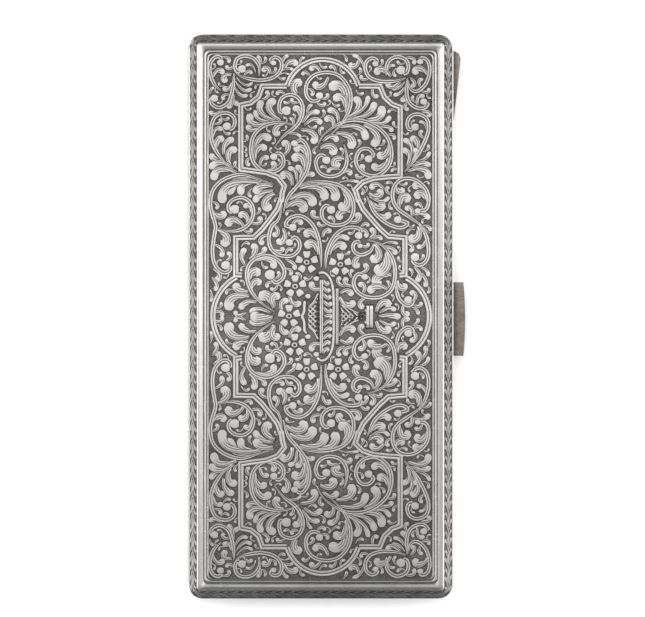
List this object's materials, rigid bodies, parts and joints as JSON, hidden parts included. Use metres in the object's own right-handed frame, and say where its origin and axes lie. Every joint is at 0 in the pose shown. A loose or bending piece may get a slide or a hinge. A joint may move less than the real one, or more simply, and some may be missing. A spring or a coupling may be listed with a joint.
{
  "type": "business card case",
  "caption": "Slim engraved silver card case: two shallow trays on a full-length hinge, with a push catch, a side lever and a hinged card leaf inside.",
  "frame": {"origin": "centre of the flat back face that the closed case lies on, midway between the hinge side and the front side and midway along its length", "axes": "+Z out of the engraved lid, +Y along the case, +X towards the thumb piece and away from the hinge"},
  "size_m": [0.0648, 0.1316, 0.012],
  "materials": {
    "engraved_silver": "engraved and oxidised silver, bright on the raised scrolls and dark in the cuts",
    "plain_silver": "plain worn silver with fine scratches",
    "worn_nickel": "dull brownish grey metal, worn smooth",
    "gilt_silver": "thin worn gilding over silver",
    "spring_steel": "hardened steel, dark and smooth"
  },
  "bodies": {
    "base": {"base_shell": "engraved_silver", "base_bezel": "gilt_silver", "base_knuckle_1": "plain_silver", "base_knuckle_2": "plain_silver", "base_knuckle_3": "plain_silver", "base_knuckle_4": "plain_silver", "hinge_pin": "spring_steel", "catch_spring": "spring_steel", "catch_spring_block": "gilt_silver", "catch_spring_rivet": "spring_steel", "lever_pin": "spring_steel", "lever_spring": "spring_steel", "lever_spring_post": "gilt_silver", "leaf_knuckle_lower": "gilt_silver", "leaf_knuckle_upper": "gilt_silver", "leaf_pin": "spring_steel"},
    "lid": {"lid_shell": "engraved_silver", "lid_knuckle_1": "plain_silver", "lid_knuckle_2": "plain_silver", "lid_knuckle_3": "plain_silver", "lid_keeper": "gilt_silver"},
    "thumb_catch": {"thumb_piece": "worn_nickel", "catch_hook": "worn_nickel"},
    "lever": {"side_lever": "worn_nickel"},
    "leaf": {"card_leaf": "gilt_silver", "leaf_barrel": "gilt_silver"}
  },
  "joints": [
    {"name": "lid_hinge", "type": "hinge", "parent": "base", "child": "lid", "pos_m": [-0.0297, 0, 0.006], "axis": [0, -1, 0], "range_deg": [0, 110]},
    {"name": "leaf_hinge", "type": "hinge", "parent": "base", "child": "leaf", "pos_m": [-0.027, 0, 0.00575], "axis": [0, -1, 0], "range_deg": [0, 66]},
    {"name": "thumb_push", "type": "slide", "parent": "base", "child": "thumb_catch", "axis": [-1, 0, 0], "range_m": [0, 0.0008], "stiffness_N_per_m": 600, "springref_m": -0.0006, "deforming": ["catch_spring"]},
    {"name": "lever_press", "type": "hinge", "parent": "base", "child": "lever", "pos_m": [0.0274, 0.046, 0.0035], "axis": [0, 0, 1], "range_deg": [0, 4.5], "stiffness_Nm_per_rad": 0.12, "springref_deg": -2.86, "deforming": ["lever_spring"]}
  ],
  "couplings": [
    {"joint": "leaf_hinge", "follows": "lid_hinge", "ratio": 0.6}
  ]
}
